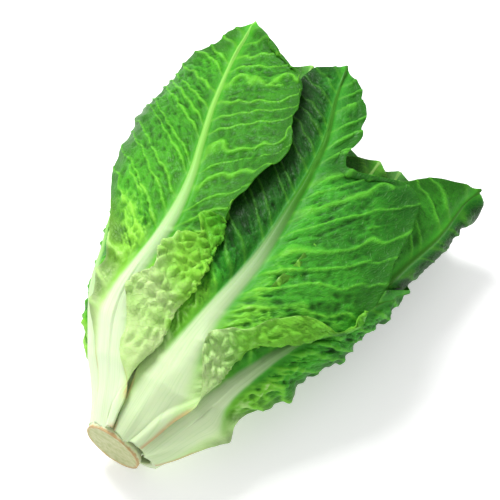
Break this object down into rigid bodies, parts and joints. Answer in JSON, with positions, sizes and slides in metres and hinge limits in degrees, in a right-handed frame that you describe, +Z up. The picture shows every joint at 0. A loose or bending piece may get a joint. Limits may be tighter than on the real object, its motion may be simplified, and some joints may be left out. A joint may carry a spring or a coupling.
{
  "type": "romaine lettuce head",
  "caption": "Whole romaine lettuce head lying on its back, with overlapping long leaves on pale ribs and a cut stem end.",
  "frame": {"origin": "centre of the head's bounding box on the surface it lies on", "axes": "+Y along the head from the cut stem to the leaf tips, +Z up from the surface it lies on, +X to the right seen from the cut stem"},
  "size_m": [0.2278, 0.3094, 0.0875],
  "materials": {
    "stem": "matt",
    "leaf_outer": "satin",
    "leaf_under": "satin",
    "leaf_middle": "satin",
    "leaf_heart": "satin"
  },
  "bodies": {
    "root": {"stem_core": "stem", "leaf_top_left": "leaf_outer", "leaf_top_middle": "leaf_outer", "leaf_right_low": "leaf_outer", "leaf_right_high": "leaf_outer", "leaf_left_low": "leaf_outer", "leaf_under_1": "leaf_under", "leaf_under_2": "leaf_under", "leaf_under_3": "leaf_under", "leaf_middle_1": "leaf_middle", "leaf_middle_2": "leaf_middle", "leaf_middle_3": "leaf_middle", "leaf_middle_4": "leaf_middle", "leaf_middle_5": "leaf_middle", "leaf_middle_6": "leaf_middle", "leaf_middle_7": "leaf_middle", "leaf_heart_1": "leaf_heart", "leaf_heart_2": "leaf_heart", "leaf_heart_3": "leaf_heart", "leaf_heart_4": "leaf_heart", "leaf_heart_5": "leaf_heart", "leaf_heart_6": "leaf_heart"}
  },
  "joints": []
}
